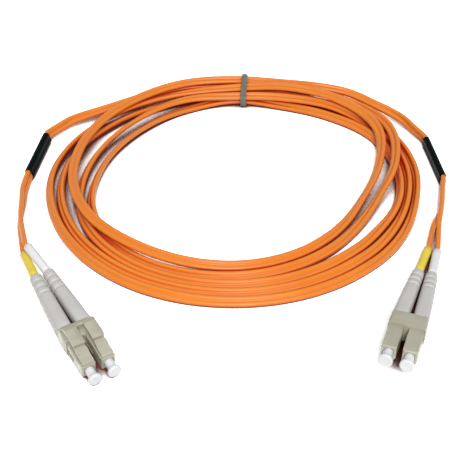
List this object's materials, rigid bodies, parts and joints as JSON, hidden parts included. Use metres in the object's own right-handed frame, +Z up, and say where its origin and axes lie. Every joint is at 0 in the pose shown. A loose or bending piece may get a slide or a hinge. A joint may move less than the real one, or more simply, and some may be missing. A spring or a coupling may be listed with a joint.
{
  "type": "fiber optic patch cord",
  "caption": "Duplex fibre optic patch cord: orange zip cord in a tied coil, with a capped, latching duplex plug on each end.",
  "frame": {"origin": "on the surface the cord lies on, under the middle of the box around the two duplex plugs", "axes": "+Z up; +X from plug a to plug b, along the longest side of that box; +Y towards the tie at the back of the coil"},
  "size_m": [0.1533, 0.1621, 0.0097],
  "materials": {
    "orange_jacket": "satin",
    "tie_band": "matte",
    "black_shrink": "semi-gloss",
    "beige_plastic": "satin",
    "white_ceramic": "polished",
    "nickel_brass": "turned",
    "clear_buffer": "satin",
    "spring_steel": "drawn wire",
    "crimp_metal": "crimped",
    "grey_boot": "matte",
    "white_cap": "translucent satin",
    "white_sleeve": "satin",
    "yellow_sleeve": "satin"
  },
  "bodies": {
    "cord": {"coil": "orange_jacket", "lead_a": "orange_jacket", "lead_b": "orange_jacket", "tie": "tie_band", "heat_shrink_a": "black_shrink", "heat_shrink_b": "black_shrink", "duplex_clip_a": "beige_plastic", "duplex_clip_b": "beige_plastic", "plug_housing_a1": "beige_plastic", "plug_housing_a2": "beige_plastic", "plug_housing_b1": "beige_plastic", "plug_housing_b2": "beige_plastic", "ferrule_spring_a1": "spring_steel", "ferrule_spring_a2": "spring_steel", "ferrule_spring_b1": "spring_steel", "ferrule_spring_b2": "spring_steel", "rear_body_a1": "nickel_brass", "rear_body_a2": "nickel_brass", "rear_body_b1": "nickel_brass", "rear_body_b2": "nickel_brass", "crimp_sleeve_a1": "crimp_metal", "crimp_sleeve_a2": "crimp_metal", "crimp_sleeve_b1": "crimp_metal", "crimp_sleeve_b2": "crimp_metal", "boot_a1": "grey_boot", "boot_a2": "grey_boot", "boot_b1": "grey_boot", "boot_b2": "grey_boot", "leg_a1": "orange_jacket", "leg_a2": "orange_jacket", "leg_b1": "orange_jacket", "leg_b2": "orange_jacket", "id_sleeve_a1": "white_sleeve", "id_sleeve_a2": "yellow_sleeve", "id_sleeve_b1": "yellow_sleeve", "id_sleeve_b2": "white_sleeve"},
    "trigger_a": {"clip_trigger_a": "beige_plastic"},
    "latch_a1": {"latch_arm_a1": "beige_plastic"},
    "ferrule_set_a1": {"ferrule_a1": "white_ceramic", "ferrule_flange_a1": "nickel_brass", "fibre_a1": "clear_buffer"},
    "cap_a1": {"dust_cap_a1": "white_cap"},
    "latch_a2": {"latch_arm_a2": "beige_plastic"},
    "ferrule_set_a2": {"ferrule_a2": "white_ceramic", "ferrule_flange_a2": "nickel_brass", "fibre_a2": "clear_buffer"},
    "cap_a2": {"dust_cap_a2": "white_cap"},
    "trigger_b": {"clip_trigger_b": "beige_plastic"},
    "latch_b1": {"latch_arm_b1": "beige_plastic"},
    "ferrule_set_b1": {"ferrule_b1": "white_ceramic", "ferrule_flange_b1": "nickel_brass", "fibre_b1": "clear_buffer"},
    "cap_b1": {"dust_cap_b1": "white_cap"},
    "latch_b2": {"latch_arm_b2": "beige_plastic"},
    "ferrule_set_b2": {"ferrule_b2": "white_ceramic", "ferrule_flange_b2": "nickel_brass", "fibre_b2": "clear_buffer"},
    "cap_b2": {"dust_cap_b2": "white_cap"}
  },
  "joints": [
    {"name": "trigger_a_press", "type": "hinge", "parent": "cord", "child": "trigger_a", "pos_m": [-0.04768, -0.00472, 0.00713], "axis": [0.859, 0.512, 0], "range_deg": [0, 4.4], "stiffness_Nm_per_rad": 0.02},
    {"name": "latch_a1_bend", "type": "hinge", "parent": "cord", "child": "latch_a1", "pos_m": [-0.03782, -0.01517, 0.00492], "axis": [0.859, 0.512, 0], "range_deg": [-7.4, 0]},
    {"name": "ferrule_a1_push", "type": "slide", "parent": "cord", "child": "ferrule_set_a1", "axis": [-0.5107, 0.8568, 0.0715], "range_m": [0, 0.0012], "stiffness_N_per_m": 60, "deforming": ["ferrule_spring_a1"]},
    {"name": "cap_a1_pull", "type": "slide", "parent": "cord", "child": "cap_a1", "axis": [0.5107, -0.8568, -0.0715], "range_m": [0, 0.012]},
    {"name": "latch_a2_bend", "type": "hinge", "parent": "cord", "child": "latch_a2", "pos_m": [-0.04319, -0.01837, 0.00492], "axis": [0.859, 0.512, 0], "range_deg": [-7.4, 0]},
    {"name": "ferrule_a2_push", "type": "slide", "parent": "cord", "child": "ferrule_set_a2", "axis": [-0.5107, 0.8568, 0.0715], "range_m": [0, 0.0012], "stiffness_N_per_m": 60, "deforming": ["ferrule_spring_a2"]},
    {"name": "cap_a2_pull", "type": "slide", "parent": "cord", "child": "cap_a2", "axis": [0.5107, -0.8568, -0.0715], "range_m": [0, 0.012]},
    {"name": "trigger_b_press", "type": "hinge", "parent": "cord", "child": "trigger_b", "pos_m": [0.05217, -0.00332, 0.00193], "axis": [-0.9426, 0.3338, 0], "range_deg": [0, 4.4], "stiffness_Nm_per_rad": 0.02},
    {"name": "latch_b1_bend", "type": "hinge", "parent": "cord", "child": "latch_b1", "pos_m": [0.04457, -0.01543, 0.0046], "axis": [-0.9426, 0.3338, 0], "range_deg": [-7.4, 0]},
    {"name": "ferrule_b1_push", "type": "slide", "parent": "cord", "child": "ferrule_set_b1", "axis": [0.332, 0.9375, -0.1045], "range_m": [0, 0.0012], "stiffness_N_per_m": 60, "deforming": ["ferrule_spring_b1"]},
    {"name": "cap_b1_pull", "type": "slide", "parent": "cord", "child": "cap_b1", "axis": [-0.332, -0.9375, 0.1045], "range_m": [0, 0.012]},
    {"name": "latch_b2_bend", "type": "hinge", "parent": "cord", "child": "latch_b2", "pos_m": [0.05046, -0.01751, 0.0046], "axis": [-0.9426, 0.3338, 0], "range_deg": [-7.4, 0]},
    {"name": "ferrule_b2_push", "type": "slide", "parent": "cord", "child": "ferrule_set_b2", "axis": [0.332, 0.9375, -0.1045], "range_m": [0, 0.0012], "stiffness_N_per_m": 60, "deforming": ["ferrule_spring_b2"]},
    {"name": "cap_b2_pull", "type": "slide", "parent": "cord", "child": "cap_b2", "axis": [-0.332, -0.9375, 0.1045], "range_m": [0, 0.012]}
  ],
  "couplings": [
    {"joint": "latch_a1_bend", "follows": "trigger_a_press", "ratio": -1.68},
    {"joint": "latch_a2_bend", "follows": "trigger_a_press", "ratio": -1.68},
    {"joint": "latch_b1_bend", "follows": "trigger_b_press", "ratio": -1.68},
    {"joint": "latch_b2_bend", "follows": "trigger_b_press", "ratio": -1.68}
  ]
}
